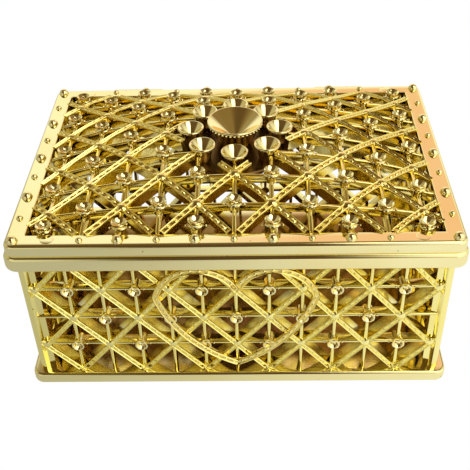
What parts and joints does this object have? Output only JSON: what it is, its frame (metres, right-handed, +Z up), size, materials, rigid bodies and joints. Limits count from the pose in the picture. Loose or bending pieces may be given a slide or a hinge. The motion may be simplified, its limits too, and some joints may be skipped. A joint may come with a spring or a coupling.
{
  "type": "candy box",
  "caption": "Rectangular openwork box with lattice walls, a heart on the front, and a hinged domed lattice lid that carries a rosette of cups.",
  "frame": {"origin": "centre of the face that the box rests on", "axes": "+X along the length to the right as seen from the front, +Y to the back where the hinge is, +Z up"},
  "size_m": [0.1016, 0.0722, 0.0538],
  "materials": {
    "gold_plate": "mirror gold electroplate on moulded plastic",
    "gold_lattice": "mirror gold electroplate on moulded plastic",
    "gold_studs": "mirror gold electroplate, faceted",
    "gold_rim": "mirror gold electroplate, smooth",
    "gold_cups": "mirror gold electroplate, smooth",
    "gold_pin": "drawn wire"
  },
  "bodies": {
    "base": {"bottom_plate": "gold_plate", "corner_post_front_left": "gold_lattice", "corner_post_back_left": "gold_lattice", "corner_post_front_right": "gold_lattice", "corner_post_back_right": "gold_lattice", "front_lattice": "gold_lattice", "back_lattice": "gold_lattice", "right_lattice": "gold_lattice", "left_lattice": "gold_lattice", "front_studs": "gold_studs", "back_studs": "gold_studs", "right_studs": "gold_studs", "left_studs": "gold_studs", "heart_outline": "gold_lattice", "base_rim": "gold_rim", "base_knuckle_left": "gold_rim", "base_knuckle_right": "gold_rim", "hinge_pin_left": "gold_pin", "hinge_pin_right": "gold_pin"},
    "lid": {"lid_frame": "gold_rim", "lid_lattice": "gold_lattice", "lid_studs": "gold_studs", "large_beads": "gold_studs", "small_beads": "gold_studs", "rosette_hub": "gold_cups", "centre_cup": "gold_cups", "petal_cup_1": "gold_cups", "petal_cup_2": "gold_cups", "petal_cup_3": "gold_cups", "petal_cup_4": "gold_cups", "petal_cup_5": "gold_cups", "petal_cup_6": "gold_cups", "petal_cup_7": "gold_cups", "petal_cup_8": "gold_cups", "lid_knuckles_left": "gold_rim", "lid_knuckles_right": "gold_rim"}
  },
  "joints": [
    {"name": "lid_hinge", "type": "hinge", "parent": "base", "child": "lid", "pos_m": [0, 0.03625, 0.04068], "axis": [-1, 0, 0], "range_deg": [0, 105]}
  ]
}
